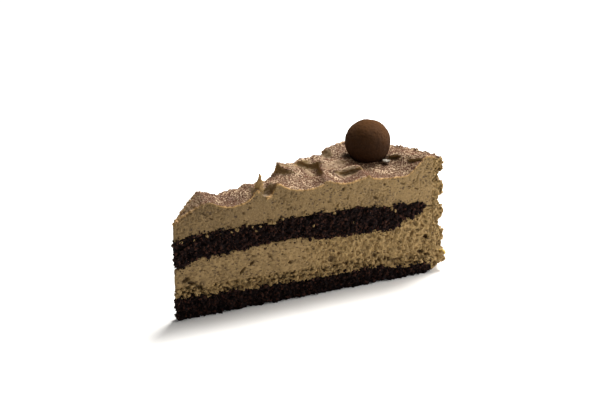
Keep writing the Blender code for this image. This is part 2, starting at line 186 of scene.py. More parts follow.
def weigh(piece, name, weights):
    """A vertex group with these weights, in even steps."""
    old = piece.vertex_groups.get(name)
    if old:
        piece.vertex_groups.remove(old)
    group = piece.vertex_groups.new(name=name)
    levels = np.rint(np.clip(weights, 0, 1) * WEIGHT_STEPS).astype(int)
    for level in range(1, WEIGHT_STEPS + 1):
        group.add(np.flatnonzero(levels == level).tolist(), level / WEIGHT_STEPS, "REPLACE")
    return name


def paint(piece, name, values):
    """A value for each vertex that the piece's finish reads."""
    layer = piece.data.attributes.get(name) or piece.data.attributes.new(name, "FLOAT", "POINT")
    layer.data.foreach_set("value", values.astype(np.float32))


def pattern(name, kind, size, low=0.3, high=0.7, **settings):
    """A procedural texture for relief; low and high keep only what lies between them, stretched to 0 to 1."""
    made = bpy.data.textures.new(name, kind)
    made.noise_scale = size
    for key, value in settings.items():
        setattr(made, key, value)
    made.use_color_ramp = True
    made.color_ramp.elements[0].position = low
    made.color_ramp.elements[0].color = (0, 0, 0, 1)
    made.color_ramp.elements[1].position = high
    made.color_ramp.elements[1].color = (1, 1, 1, 1)
    return made


def relief(piece, texture, depth, group=None, middle=0.5):
    """Pushes the surface out and in along its normals by the texture."""
    step = piece.modifiers.new("relief", "DISPLACE")
    step.texture = texture
    step.texture_coords = "LOCAL"
    step.strength = depth
    step.mid_level = middle
    if group:
        step.vertex_group = group
    apply_modifiers(piece)


def swell(piece, distance, group):
    """Moves the surface out by an even distance."""
    step = piece.modifiers.new("swell", "DISPLACE")
    step.strength = distance
    step.mid_level = 0
    step.vertex_group = group
    apply_modifiers(piece)


def reshape(piece, name, heights):
    """Moves the surface out by these heights and, where they are negative, in."""
    for way in (1, -1):
        amount = np.clip(way * heights, 0, None)
        if amount.max() > 0:
            weigh(piece, name, amount / amount.max())
            swell(piece, way * amount.max(), name)


def streaked(points, chosen, sizes, tilt, octaves, seed):
    """Noise of about -1 to 1 at the chosen points.

    It is drawn out to these sizes in mm along the slice, across and up.
    """
    turn = math.radians(tilt)
    cosine, sine = math.cos(turn), math.sin(turn)
    made = np.zeros(len(points))
    for k in np.flatnonzero(chosen):
        x, y, z = points[k] / MM
        place = ((x * cosine + z * sine) / sizes[0], y / sizes[1], (z * cosine - x * sine) / sizes[2] + seed)
        made[k] = noise.fractal(Vector(place), 1.0, 2.0, octaves)
    return made


def soften(piece, times):
    step = piece.modifiers.new("soften", "SMOOTH")
    step.factor = 0.5
    step.iterations = times
    apply_modifiers(piece)


def thin_hidden(piece, ratio, group):
    """Fewer faces where the piece is never seen."""
    step = piece.modifiers.new("fewer hidden faces", "DECIMATE")
    step.ratio = ratio
    step.vertex_group = group
    step.vertex_group_factor = 10
    apply_modifiers(piece)


def keep_inside(piece, low, high):
    place_points(piece, np.clip(points_of(piece), np.array(low), np.array(high)))


def finish_piece(piece, nodes, finish):
    """Gives the piece its finish and ties it to the solids that it stands for."""
    piece.vertex_groups.clear()
    piece.data.materials.clear()
    piece.data.materials.append(finish)
    piece.data.shade_smooth()
    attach(piece, "root")
    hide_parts(*nodes)
    return piece


# Shader building

def add(tree, kind, inputs=None, **settings):
    """A node with its settings made and its inputs set or linked."""
    made = tree.nodes.new(kind)
    for key, value in settings.items():
        setattr(made, key, value)
    for key, value in (inputs or {}).items():
        if isinstance(value, bpy.types.NodeSocket):
            tree.links.new(value, made.inputs[key])
        else:
            made.inputs[key].default_value = value
    return made


def maths(tree, operation, first, second=0.0, clamp=False):
    made = add(tree, "ShaderNodeMath", {0: first, 1: second}, operation=operation, use_clamp=clamp)
    return made.outputs[0]


def spread(tree, value, low, high, to_low=0.0, to_high=1.0):
    """Maps low..high to to_low..to_high, clamped."""
    inputs = {"Value": value, "From Min": low, "From Max": high, "To Min": to_low, "To Max": to_high}
    return add(tree, "ShaderNodeMapRange", inputs).outputs[0]


def mixed(tree, share, first, second):
    """A colour between two colours."""
    made = add(tree, "ShaderNodeMix", data_type="RGBA")
    for socket, value in ((made.inputs[0], share), (made.inputs[6], first), (made.inputs[7], second)):
        if isinstance(value, bpy.types.NodeSocket):
            tree.links.new(value, socket)
        elif isinstance(value, float):
            socket.default_value = value
        else:
            socket.default_value = (*value, 1)
    return made.outputs[2]


def new_group(name, inputs, outputs):
    """An empty shader group with named sockets, and its input and output nodes."""
    group = bpy.data.node_groups.new(name, "ShaderNodeTree")
    for key, default in inputs.items():
        kind = "NodeSocketVector" if default is None else "NodeSocketFloat"
        socket = group.interface.new_socket(name=key, in_out="INPUT", socket_type=kind)
        if default is not None:
            socket.default_value = default
    for key in outputs:
        group.interface.new_socket(name=key, in_out="OUTPUT", socket_type="NodeSocketFloat")
    return group, group.nodes.new("NodeGroupInput").outputs, group.nodes.new("NodeGroupOutput").inputs


def grain_group():
    """Fine uneven grain: a value round a half that varies over the surface, with finer grain inside it."""
    group, given, made = new_group("fine_grain", {"Vector": None, "Size": 0.001, "Detail": 3.0}, ["Value"])
    scale = maths(group, "DIVIDE", 1.0, given["Size"])
    inputs = {"Vector": given["Vector"], "Scale": scale, "Detail": given["Detail"], "Roughness": 0.65}
    group.links.new(add(group, "ShaderNodeTexNoise", inputs).outputs["Fac"], made["Value"])
    return group


def pore_group():
    """Small open pores: 1 in the middle of a pore, 0 on whole cream. Only some cells hold a pore."""
    group, given, made = new_group("open_pores", {"Vector": None, "Size": 0.001, "Share": 0.4}, ["Pore"])
    scale = maths(group, "DIVIDE", 1.0, given["Size"])
    inputs = {"Vector": given["Vector"], "Scale": maths(group, "MULTIPLY", scale, 1.6)}
    wobble = add(group, "ShaderNodeTexNoise", inputs).outputs["Color"]
    shift = add(group, "ShaderNodeVectorMath", {0: wobble, 1: (0.5, 0.5, 0.5)}, operation="SUBTRACT")
    reach = maths(group, "MULTIPLY", given["Size"], 0.9)
    drift = add(group, "ShaderNodeVectorMath", {0: shift.outputs[0], "Scale": reach}, operation="SCALE")
    place = add(group, "ShaderNodeVectorMath", {0: given["Vector"], 1: drift.outputs[0]}, operation="ADD")
    cells = add(group, "ShaderNodeTexVoronoi", {"Vector": place.outputs[0], "Scale": scale})
    lot = add(group, "ShaderNodeSeparateColor", {"Color": cells.outputs["Color"]}).outputs[0]
    open_size = spread(group, lot, 0.0, given["Share"], 0.46, 0.0)
    deep = maths(group, "SUBTRACT", open_size, cells.outputs["Distance"])
    group.links.new(spread(group, deep, 0.0, 0.11), made["Pore"])
    return group


def dust_group():
    """Sifted cocoa: 1 on a speck of cocoa, 0 on bare cream, and the specks' own height."""
    sockets = {"Vector": None, "Size": 0.0008, "Cover": 0.5}
    group, given, made = new_group("sifted_dust", sockets, ["Speck", "Height"])
    scale = maths(group, "DIVIDE", 1.0, given["Size"])
    inputs = {"Vector": given["Vector"], "Scale": scale, "Detail": 1.5, "Roughness": 0.6}
    fine = add(group, "ShaderNodeTexNoise", inputs)
    slow = maths(group, "MULTIPLY", scale, 0.16)
    drift = add(group, "ShaderNodeTexNoise", {"Vector": given["Vector"], "Scale": slow, "Detail": 2.0})
    cover = maths(group, "ADD", given["Cover"], spread(group, drift.outputs["Fac"], 0.3, 0.7, -0.16, 0.16))
    edge = maths(group, "SUBTRACT", 0.7, maths(group, "MULTIPLY", cover, 0.42))
    above = maths(group, "SUBTRACT", fine.outputs["Fac"], edge)
    group.links.new(spread(group, above, -0.02, 0.03), made["Speck"])
    group.links.new(spread(group, above, -0.05, 0.2), made["Height"])
    return group


GRAIN, PORES, DUST = grain_group(), pore_group(), dust_group()


def use(tree, group, **inputs):
    """A shared shader group placed in a material."""
    made = add(tree, "ShaderNodeGroup", node_tree=group)
    for key, value in inputs.items():
        if isinstance(value, bpy.types.NodeSocket):
            tree.links.new(value, made.inputs[key])
        else:
            made.inputs[key].default_value = value
    return made.outputs


def new_finish(name, roughness, specular=0.3):
    """A material with its tree, its Principled shader and its object coordinates."""
    made = bpy.data.materials.new(name)
    made.use_nodes = True
    tree = made.node_tree
    shader = tree.nodes["Principled BSDF"]
    shader.inputs["Roughness"].default_value = roughness
    shader.inputs["Specular IOR Level"].default_value = specular
    return made, tree, shader, add(tree, "ShaderNodeTexCoord").outputs["Object"]


def bump(tree, shader, height, depth):
    made = add(tree, "ShaderNodeBump", {"Height": height, "Distance": depth, "Strength": 1.0})
    tree.links.new(made.outputs[0], shader.inputs["Normal"])


def stretched(tree, place, scale, tilt):
    """Coordinates tilted in the slice's length by degrees and then stretched, for streaks."""
    inputs = {"Vector": place, "Rotation": (0, math.radians(tilt), 0), "Scale": scale}
    return add(tree, "ShaderNodeMapping", inputs, vector_type="TEXTURE").outputs[0]


# Finishes

CREAM_COLOUR = (0.226, 0.141, 0.049)
# dark end of the painted shade towards the tip, and of the slow mottle
CREAM_SHADE_AND_MOTTLE = (0.150, 0.092, 0.032)
CREAM_LIGHT = (0.455, 0.300, 0.122)
# painted shade: the colour that pores, holes, slits and crevices are darkened towards
HOLLOW_SHADE_COLOUR = (0.055, 0.027, 0.008)
# the lip of cream pushed up at the cut's top edge: its own lighter colour, with painted highlight where the
# edge catches the light
LIP_AND_HIGHLIGHT_COLOUR = (0.500, 0.290, 0.105)
COCOA_COLOUR = (0.116, 0.046, 0.019)
DUSTED_CREAM_COLOUR = (0.610, 0.440, 0.272)
BARE_TOP_COLOUR = (0.330, 0.222, 0.125)
COCOA_COVER = 0.5     # this much of the top is cocoa
HEAVY_COVER = 0.26    # and this much more where it lies heavily
SPONGE_DARK = (0.0022, 0.0010, 0.0012)
SPONGE_BROWN = (0.018, 0.0082, 0.0070)
SPONGE_GRAIN = (0.080, 0.032, 0.021)
SPONGE_HOLE_SHADE = (0.002, 0.0015, 0.0015)
TRUFFLE_SHADED_BELOW = (0.051, 0.0258, 0.0143)
TRUFFLE_LIT_ABOVE = (0.066, 0.0285, 0.0098)
TRUFFLE_POWDER = (0.100, 0.045, 0.022)

# What the cream's finish reads from its piece, each from 0 to 1
ZONES = ("cut", "torn", "lip", "dust", "heavy", "tone", "painted_shade")


def cream_finish(name):
    """Mousse cream: smooth and porous where a knife went through, dusted on top, granular where torn, with
    painted shade in its hollows.

    The piece's own values say where, one for each of ZONES.
    """
    made, tree, shader, place = new_finish(name, 0.6, 0.3)
    zone = {}
    for key in ZONES:
        zone[key] = add(tree, "ShaderNodeAttribute", attribute_name=key + "_zone").outputs["Fac"]
    slow = use(tree, GRAIN, Vector=place, Size=0.009, Detail=3.0)["Value"]
    quick_grain = use(tree, GRAIN, Vector=place, Size=0.0007, Detail=4.0)["Value"]
    slanted = stretched(tree, place, (1, 1, 3.5), 28)
    streaks = use(tree, GRAIN, Vector=slanted, Size=0.0009, Detail=3.0)["Value"]
    dashes = stretched(tree, place, (2.2, 2.2, 1), 4)
    fine = use(tree, PORES, Vector=dashes, Size=0.0008, Share=0.7)["Pore"]
    coarse = use(tree, PORES, Vector=dashes, Size=0.0009, Share=0.16)["Pore"]
    patchy = spread(tree, use(tree, GRAIN, Vector=place, Size=0.012, Detail=2.0)["Value"], 0.38, 0.52)
    along = add(tree, "ShaderNodeSeparateXYZ", {0: place}).outputs[0]
    # painted shade: the cream darkens towards the tip, where the light falls off; slow grain mottles it as
    # well
    painted_falloff = spread(tree, along, CENTRE_X + 15 * MM, CENTRE_X + 115 * MM, 0.0, 0.8)    # darker towards the tip
    share = maths(tree, "ADD", painted_falloff, spread(tree, slow, 0.35, 0.65, 0.0, 0.25), True)
    colour = mixed(tree, share, CREAM_SHADE_AND_MOTTLE, CREAM_COLOUR)
    colour = mixed(tree, spread(tree, quick_grain, 0.5, 0.75, 0.0, 0.5), colour, CREAM_LIGHT)
    grit = maths(tree, "MULTIPLY", spread(tree, streaks, 0.44, 0.6), zone["torn"])
    # painted shade in the grooves between the torn streaks
    colour = mixed(tree, maths(tree, "MULTIPLY", grit, 0.06), colour, HOLLOW_SHADE_COLOUR)
    brighter = maths(tree, "MULTIPLY", zone["torn"], 0.76)
    colour = mixed(tree, brighter, colour, CREAM_LIGHT)
    colour = mixed(tree, maths(tree, "MULTIPLY", zone["tone"], 0.45), colour, CREAM_LIGHT)
    # painted shade in the pores of the cut, and in the holes, slits, crevices and bare hollows that the piece
    # marks
    pores = maths(tree, "MAXIMUM", maths(tree, "MULTIPLY", fine, patchy), coarse)
    pores = maths(tree, "MULTIPLY", pores, zone["cut"])
    pores = maths(tree, "MAXIMUM", pores, maths(tree, "MULTIPLY", zone["painted_shade"], 0.75))
    colour = mixed(tree, maths(tree, "MULTIPLY", pores, 0.9), colour, HOLLOW_SHADE_COLOUR)
    # the lip's lighter colour, partly its own and partly painted highlight
    colour = mixed(tree, zone["lip"], colour, LIP_AND_HIGHLIGHT_COLOUR)
    cover = maths(tree, "ADD", COCOA_COVER, maths(tree, "MULTIPLY", zone["heavy"], HEAVY_COVER))
    sifted = use(tree, DUST, Vector=place, Size=0.0008, Cover=cover)
    speck = maths(tree, "MULTIPLY", sifted["Speck"], zone["dust"])
    pale = mixed(tree, spread(tree, slow, 0.35, 0.65), BARE_TOP_COLOUR, DUSTED_CREAM_COLOUR)
    colour = mixed(tree, zone["dust"], colour, pale)
    colour = mixed(tree, maths(tree, "MULTIPLY", speck, 0.9), colour, COCOA_COLOUR)
    tree.links.new(colour, shader.inputs["Base Color"])
    height = maths(tree, "SUBTRACT", maths(tree, "MULTIPLY", quick_grain, 0.45), pores)
    height = maths(tree, "SUBTRACT", height, maths(tree, "MULTIPLY", grit, 0.6))
    raised = maths(tree, "MULTIPLY", sifted["Height"], zone["dust"])
    height = maths(tree, "ADD", height, raised)
    bump(tree, shader, height, 0.5 * MM)
    return made


def sponge_finish():
    """Dark open crumb, with reddish-brown grains and painted shade in its holes."""
    made, tree, shader, place = new_finish("chocolate_sponge_crumb", 0.8, 0.1)
    tone = add(tree, "ShaderNodeAttribute", attribute_name="tone_zone").outputs["Fac"]
    grains = use(tree, GRAIN, Vector=place, Size=0.0009, Detail=4.0)["Value"]
    holes = use(tree, PORES, Vector=place, Size=0.0016, Share=0.6)["Pore"]
    colour = mixed(tree, spread(tree, grains, 0.4, 0.68), SPONGE_DARK, SPONGE_BROWN)
    colour = mixed(tree, spread(tree, tone, 0.45, 1.0, 0.0, 0.85), colour, SPONGE_GRAIN)
    # painted shade in the crumb's holes
    colour = mixed(tree, maths(tree, "MULTIPLY", holes, 0.8), colour, SPONGE_HOLE_SHADE)
    tree.links.new(colour, shader.inputs["Base Color"])
    height = maths(tree, "SUBTRACT", grains, maths(tree, "MULTIPLY", holes, 0.8))
    bump(tree, shader, height, 0.6 * MM)
    return made


def truffle_finish():
    """A ball rolled in cocoa: velvety and patchy, with painted light that makes it warmer and lighter on top.
    """
    made, tree, shader, place = new_finish("cocoa_truffle_velvet", 0.9, 0.03)
    patches = use(tree, GRAIN, Vector=place, Size=0.006, Detail=3.0)["Value"]
    powder = use(tree, GRAIN, Vector=place, Size=0.0006, Detail=4.0)["Value"]
    low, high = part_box("truffle")
    level = add(tree, "ShaderNodeSeparateXYZ", {0: place}).outputs[2]
    # painted light: lighter and warmer towards the top, as if lit from above; random patches on top of that
    upper = spread(tree, level, low.z + 11 * MM, high.z + 1 * MM, 0.0, 1.0)
    patchy = spread(tree, patches, 0.38, 0.62, -0.25, 0.2)
    lit_and_patchy = maths(tree, "ADD", maths(tree, "MULTIPLY", upper, 0.85), patchy, True)
    colour = mixed(tree, lit_and_patchy, TRUFFLE_SHADED_BELOW, TRUFFLE_LIT_ABOVE)
    colour = mixed(tree, spread(tree, powder, 0.5, 0.75, 0.0, 0.12), colour, TRUFFLE_POWDER)
    tree.links.new(colour, shader.inputs["Base Color"])
    shader.inputs["Sheen Weight"].default_value = 0.02
    shader.inputs["Sheen Roughness"].default_value = 0.4
    shader.inputs["Sheen Tint"].default_value = (0.8, 0.45, 0.25, 1)
    bump(tree, shader, powder, 0.2 * MM)
    return made


def plain_finish(name, colour, other, size, roughness, depth):
    """One soft colour mottled with a second, over fine grain."""
    made, tree, shader, place = new_finish(name, roughness)
    grain = use(tree, GRAIN, Vector=place, Size=size, Detail=4.0)["Value"]
    tree.links.new(mixed(tree, spread(tree, grain, 0.35, 0.65), colour, other), shader.inputs["Base Color"])
    bump(tree, shader, grain, depth)
    return made


# Sponges

def sponge_piece(node):
    """A sponge layer with an open crumb at the cuts and ragged edges."""
    piece = copy_of(node, node + "_crumb")
    low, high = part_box(node)
    resurface(piece, SPONGE_VOXEL * 1.4)
    weigh(piece, "open", near_open(piece, 7 * MM))
    relief(piece, pattern("ragged edge", "CLOUDS", 2.4 * MM, noise_depth=2), 1.5 * MM, "open", 0.35)
    resurface(piece, SPONGE_VOXEL)
    weigh(piece, "open", near_open(piece, 6 * MM))
    relief(piece, pattern("crumb lumps", "VORONOI", 1.5 * MM, 0.0, 0.8), -1.6 * MM, "open", 0.4)
    relief(piece, pattern("crumb grain", "CLOUDS", 0.8 * MM, noise_depth=2), 0.7 * MM, "open")
    weigh(piece, "hidden", 1 - near_open(piece, HIDDEN_DEPTH))
    thin_hidden(piece, 0.55, "hidden")
    bottom = low.z if node == "sponge_base" else low.z - 1.5 * MM
    keep_inside(piece, (low.x, low.y, bottom), (high.x, high.y, high.z + 1.5 * MM))
    front, back = cut_depths(points_of(piece))
    open_side = step_up(np.minimum(front, back), 2.2 * MM, 1.2 * MM)
    if node == "sponge_base":
        open_side = np.maximum(open_side, step_up(radius_of(points_of(piece)), 133 * MM, 134.5 * MM))
    paint(piece, "crumb_zone", open_side * step_up(points_of(piece)[:, 2], 1.1 * MM, 1.4 * MM))
    return finish_piece(piece, [node], SPONGE_FINISH)


# Marks of the knife in the cream: radius, height, half length, half width, tilt in degrees and depth.
# All but the tilt are in mm.

FILLING_MARKS = (
    (5.5, 19.6, 2.0, 0.9, 20, 1.5), (8.4, 17.3, 2.2, 0.9, -25, 1.8), (11.6, 15.0, 1.8, 0.8, -10, 1.4),
    (6.3, 15.6, 1.2, 0.8, 0, 1.0), (33.6, 19.2, 2.0, 0.55, 48, 1.6), (38.4, 22.2, 1.4, 0.5, 40, 1.3),
    (30.0, 11.4, 2.8, 0.45, 2, 1.4), (58.0, 19.0, 0.9, 0.6, 10, 1.2), (47.7, 23.9, 1.0, 0.8, 0, 0.9),
    (80.4, 16.6, 2.4, 1.6, -15, 1.1), (103.4, 14.6, 1.4, 1.1, 10, 1.6), (129.4, 12.0, 2.0, 0.9, -12, 2.2),
    (132.4, 19.4, 1.1, 0.9, 0, 1.8), (118.0, 19.0, 0.9, 0.5, 30, 1.0), (67.0, 24.0, 0.8, 0.5, 15, 0.8),
)
CREAM_MARKS = (
    (15.2, 50.0, 1.8, 0.35, -32, 0.9), (18.4, 47.4, 1.0, 0.35, -30, 0.8), (34.4, 47.6, 0.5, 0.4, 0, 0.9),
    (118.0, 49.4, 1.6, 0.3, -20, 0.8), (122.0, 47.2, 1.3, 0.3, -12, 0.8), (126.0, 45.6, 1.4, 0.3, -22, 0.8),
    (86.0, 51.5, 0.9, 0.4, 50, 0.9), (88.5, 46.5, 0.7, 0.4, 70, 0.8), (57.0, 46.0, 0.5, 0.4, 0, 0.8),
    (131.8, 35.0, 2.4, 0.6, 4, 2.2),
)
STRAY_MARKS = 22
MARK_SEED = 11


def stray_marks(count, low, high, seed):
    """Small pits and dashes at random between two heights."""
    draw = random.Random(seed)
    made = []
    for _ in range(count):
        size = draw.uniform(0.3, 0.6)
        made.append((draw.uniform(6, 128), draw.uniform(low, high), size * draw.uniform(1.0, 2.2), size * 0.8,
                     draw.uniform(-25, 25), draw.uniform(0.6, 1.1)))
    return made


def add_painted_shade(piece, shade):
    """Paints shade into hollows, beside the shade already painted."""
    known = np.empty(len(shade), np.float32)
    piece.data.attributes["painted_shade_zone"].data.foreach_get("value", known)
    paint(piece, "painted_shade_zone", np.maximum(known, shade))


def gouge(piece, front_marks, back_marks):
    """Cuts each mark into its side, the front cut and then the back cut, and paints shade into the holes."""
    points = points_of(piece)
    front, back = cut_depths(points)
    radius = radius_of(points) / MM
    height = points[:, 2] / MM
    holes = np.zeros(len(points))
    for name, marks, depth in (("front marks", front_marks, front), ("back marks", back_marks, back)):
        near = depth < 2 * MM
        dent = np.zeros(len(points))
        for place, level, half_length, half_width, tilt, deep in marks:
            turn = math.radians(tilt)
            along = (radius - place) * math.cos(turn) + (height - level) * math.sin(turn)
            across = (height - level) * math.cos(turn) - (radius - place) * math.sin(turn)
            far = np.hypot(along / half_length, across / half_width)
            dent = np.maximum(dent, step_up(far, 1.3, 0.7) * deep)
        reshape(piece, name, -dent * near * MM)
        holes = np.maximum(holes, dent * near)
    add_painted_shade(piece, step_up(holes, 0.3, 1.3))


# Mousse filling

TORN_START, TORN_END = 58 * MM, 84 * MM    # the knife tore the mousse from here outwards
# painted shade in pits and tears
PIT_SHADE, TEAR_SHADE = 0.45, 0.5          # how dark pits and tears are
PIT_DEPTH, TEAR_DEPTH = 0.3, 1.2           # in mm
SEAM_SWELL = 0.8 * MM                      # the cream closes the gap to the sponge beside it


def cut_wear(piece, name, torn, seed):
    """Drag marks, fine pits and tears that the knife left in a cut face of cream, with painted shade in the
    pits and tears.
    """
    points, cut = points_of(piece), on_cut(piece)
    weigh(piece, "cut", cut * step_up(radius_of(points), 2 * MM, 14 * MM))
    relief(piece, pattern(name + " drag", "CLOUDS", 5 * MM, noise_depth=1), 0.25 * MM, "cut", 0.9)
    pitted = streaked(points, cut > 0.05, (1.3, 1.3, 0.6), 4, 2, seed)
    pitted += 0.5 * streaked(points, cut > 0.05, (12, 12, 7), 0, 1, seed + 5)
    pits = step_up(pitted, 0.22, 0.6) * (1 - torn)
    fibres = streaked(points, cut * torn > 0.05, (1.0, 1.5, 1.8), 16, 3, seed + 9)
    clods = streaked(points, cut * torn > 0.05, (2.6, 2.6, 2.2), 0, 2, seed + 14)
    tears = torn * np.clip(0.45 - 0.9 * fibres - 0.7 * clods, 0, 1.4)
    reshape(piece, "wear", -cut * (pits * PIT_DEPTH + tears * TEAR_DEPTH) * MM)
    paint(piece, "painted_shade_zone", cut * np.maximum(PIT_SHADE * pits, TEAR_SHADE * step_up(tears, 0.5, 1.2)))


def filling_piece():
    piece = copy_of("mousse_filling", "mousse_filling_cut")
    low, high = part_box("mousse_filling")
    resurface(piece, MOUSSE_VOXEL)
    true_cuts(piece)
    flat = step_up(np.abs(normals_of(piece)[:, 2]), 0.5, 0.8)
    weigh(piece, "meets sponge", flat * near_open(piece, HIDDEN_DEPTH))
    swell(piece, SEAM_SWELL, "meets sponge")
    points = points_of(piece)
    sides = edge_heights(piece)
    to_base = points[:, 2] - sides["low"]
    outwards = step_up(radius_of(points), TORN_START, TORN_END)
    band = step_up(to_base, 6.4 * MM, 4.4 * MM)
    torn = np.maximum(outwards, band)
    cut_wear(piece, "filling", torn, 20)
    near_cut = step_up(np.minimum(*cut_depths(points_of(piece))), 2.4 * MM, 1.6 * MM)
    lumpy = near_cut * band * step_up(to_base, 0.1 * MM, 0.7 * MM)
    lumps = streaked(points_of(piece), lumpy > 0.05, (1.7, 1.7, 1.1), 6, 2, 40)
    reshape(piece, "band", lumpy * np.clip(0.2 + 2.8 * lumps, -1.4, 0.9) * MM)
    # painted shade in the crevices between the lumps
    add_painted_shade(piece, lumpy * step_up(-lumps, 0.1, 0.35))
    gouge(piece, FILLING_MARKS + tuple(stray_marks(STRAY_MARKS, 12, 26, MARK_SEED)),
          stray_marks(2 * STRAY_MARKS, 12, 26, MARK_SEED + 1))
    points = points_of(piece)
    cut = on_cut(piece)
    to_base = points[:, 2] - sides["low"]
    to_middle = sides["high"] - points[:, 2]
    paint(piece, "cut_zone", cut)
    paint(piece, "torn_zone", torn)
    mottled = streaked(points, cut > 0.05, (1.8, 1.8, 1.0), 0, 2, 130)
    paint(piece, "tone_zone", cut * np.clip(0.45 + 0.9 * mottled + 0.3 * band, 0, 1))
    by_sponge = np.maximum(step_up(to_base, 3 * MM, 1 * MM), step_up(to_middle, 4 * MM, 1.2 * MM))
    paint(piece, "crumb_zone", cut * by_sponge)
    paint(piece, "grain_zone", cut * np.maximum(0.6 * outwards, band))
    weigh(piece, "hidden", 1 - near_open(piece, HIDDEN_DEPTH))
    thin_hidden(piece, 0.6, "hidden")
    keep_inside(piece, (low.x, low.y, low.z - 1 * MM), (high.x, high.y, high.z + 1 * MM))
    return finish_piece(piece, ["mousse_filling"], CREAM_FINISH)


RING_WIDTH, RING_COUNT = 1 * MM, 150    # the rings round the torte's centre that levels are read in


def edge_heights(piece):
    """For each point, the lowest and highest level that the piece reaches at that radius near the cuts."""
    points = points_of(piece)
    front, back = cut_depths(points)
    radius = radius_of(points)
    rings = np.clip((radius / RING_WIDTH).astype(int), 0, RING_COUNT - 1)
    result = {}
    for side, depth in (("front", front), ("back", back)):
        near = depth < 1.5 * MM
        top = np.full(RING_COUNT, np.nan)
        bottom = np.full(RING_COUNT, np.nan)
        for k in np.unique(rings[near]):
            levels = points[near & (rings == k), 2]
            top[k], bottom[k] = levels.max(), levels.min()
        known = ~np.isnan(top)
        top = np.interp(np.arange(RING_COUNT), np.flatnonzero(known), top[known])
        bottom = np.interp(np.arange(RING_COUNT), np.flatnonzero(known), bottom[known])
        top -= 0.5 * np.abs(np.gradient(top))      # from a ring's highest point to the level at its middle
        bottom += 0.5 * np.abs(np.gradient(bottom))
        steps = np.arange(RING_COUNT) + 0.5
        result[side] = (np.interp(radius / MM, steps, bottom), np.interp(radius / MM, steps, top))
    use_front = front < back
    low = np.where(use_front, result["front"][0], result["back"][0])
    high = np.where(use_front, result["front"][1], result["back"][1])
    return {"low": low, "high": high}


# Top cream with the combed coat

RIM_SLOPE = (110 * MM, 120 * MM)    # the cocoa lies on the slope up to the rim


def cream_piece():
    piece = copy_of("top_cream", "top_cream_dusted")
    low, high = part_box("top_cream")
    resurface(piece, CREAM_VOXEL)
    true_cuts(piece)
    points, normals = points_of(piece), normals_of(piece)
    radius = radius_of(points)
    comb = step_up(radius, COAT_RADIUS, RIM_RADIUS) * step_up(facing_cut(normals), 0.98, 0.75)
    upward = step_up(normals[:, 2], 0.15, 0.5) * step_up(points[:, 2], *TOP_LEVELS)
    under = step_up(-normals[:, 2], 0.5, 0.8) * step_up(radius, 134.5 * MM, 133.5 * MM)
    weigh(piece, "meets sponge", under * near_open(piece, HIDDEN_DEPTH))
    swell(piece, SEAM_SWELL, "meets sponge")
    weigh(piece, "comb", comb)
    relief(piece, pattern("comb tears", "CLOUDS", 2.2 * MM, noise_depth=3), 2.0 * MM, "comb", 0.55)
    weigh(piece, "top", upward)
    relief(piece, pattern("knife chatter", "CLOUDS", 3.0 * MM, noise_depth=3), 0.3 * MM, "top", 0.35)
    lift_flaps(piece)
    torn_coat = step_up(radius, 134 * MM, 136 * MM)
    slits = np.empty(len(points), np.float32)
    piece.data.attributes["slit_zone"].data.foreach_get("value", slits)
    cut_wear(piece, "cream", torn_coat, 60)
    # painted shade in the narrow slits under the flaps
    add_painted_shade(piece, SLIT_SHADE * slits)
    gouge(piece, CREAM_MARKS + tuple(stray_marks(STRAY_MARKS, 41, 56, MARK_SEED + 2)),
          stray_marks(2 * STRAY_MARKS, 41, 58, MARK_SEED + 3))
    points, normals = points_of(piece), normals_of(piece)
    radius = radius_of(points)
    sides = edge_heights(piece)
    cut = on_cut(piece)
    from_edge = sides["high"] - points[:, 2]
    lip = step_up(from_edge, 0.9 * MM, 0.4 * MM) * step_up(facing_cut(normals), 0.1, 0.5)
    front, back = cut_depths(points)
    lip = lip * step_up(radius, 136.5 * MM, 134.5 * MM) * step_up(np.minimum(front, back), 1.6 * MM, 0.8 * MM)
    curled = streaked(points, lip > 0.05, (1.6, 1.6, 1.6), 0, 2, 90)
    reshape(piece, "lip", lip * np.clip(0.25 + 0.9 * curled, 0, 0.7) * MM)
    flatness = normals[:, 2] + 0.2 * step_up(radius, *RIM_SLOPE)
    dust = step_up(flatness, 0.5, 0.85) * step_up(points[:, 2], *TOP_LEVELS) * (1 - cut)
    bare = covered(points, BARE_PLACES) * step_up(normals[:, 2], 0.2, 0.5)
    paint(piece, "dust_zone", dust * (1 - bare))
    paint(piece, "heavy_zone", covered(points, HEAVY_PLACES))
    # painted shade on the bare cream in the hollows
    add_painted_shade(piece, BARE_SHADE * bare)
    paint(piece, "cut_zone", cut * step_up(radius, 137.5 * MM, 136 * MM))
    paint(piece, "torn_zone", np.maximum(comb, cut * step_up(radius, *TORN_COAT)))
    paint(piece, "lip_zone", lip)
    over_sponge = step_up(points[:, 2] - sides["low"], 2.4 * MM, 0.4 * MM)
    paint(piece, "crumb_zone", cut * over_sponge * step_up(radius, 133 * MM, 131 * MM))
    paint(piece, "grain_zone", np.maximum(comb, 0.7 * cut * step_up(radius, *TORN_COAT)))
    weigh(piece, "hidden", under * (1 - near_open(piece, HIDDEN_DEPTH)))
    thin_hidden(piece, 0.72, "hidden")
    keep_inside(piece, (low.x, low.y, low.z), high)
    return finish_piece(piece, ["top_cream"], CREAM_FINISH)


# The knife lifted the cream into thin flaps with a slit before each.
# Start and end in plan, lift, depth of the slit and its half width, in mm; the lifted side lies to the left.
TOP_FLAPS = (
    ((88.0, -7.8), (102.2, -10.6), 1.3, 1.0, 0.45),
    ((123.4, -2.4), (126.0, -11.0), 1.1, 1.4, 0.4),
    ((125.4, -14.6), (126.6, -26.6), 1.3, 1.3, 0.5),
    ((78.0, 16.6), (92.5, 12.2), 0.9, 1.6, 2.4),
    ((92.0, 15.0), (79.4, -8.4), 1.3, 2.2, 2.6),
    ((42.6, -5.4), (52.8, -7.0), 1.5, 0.3, 1.0),
)
FLAP_REACH = 3.0

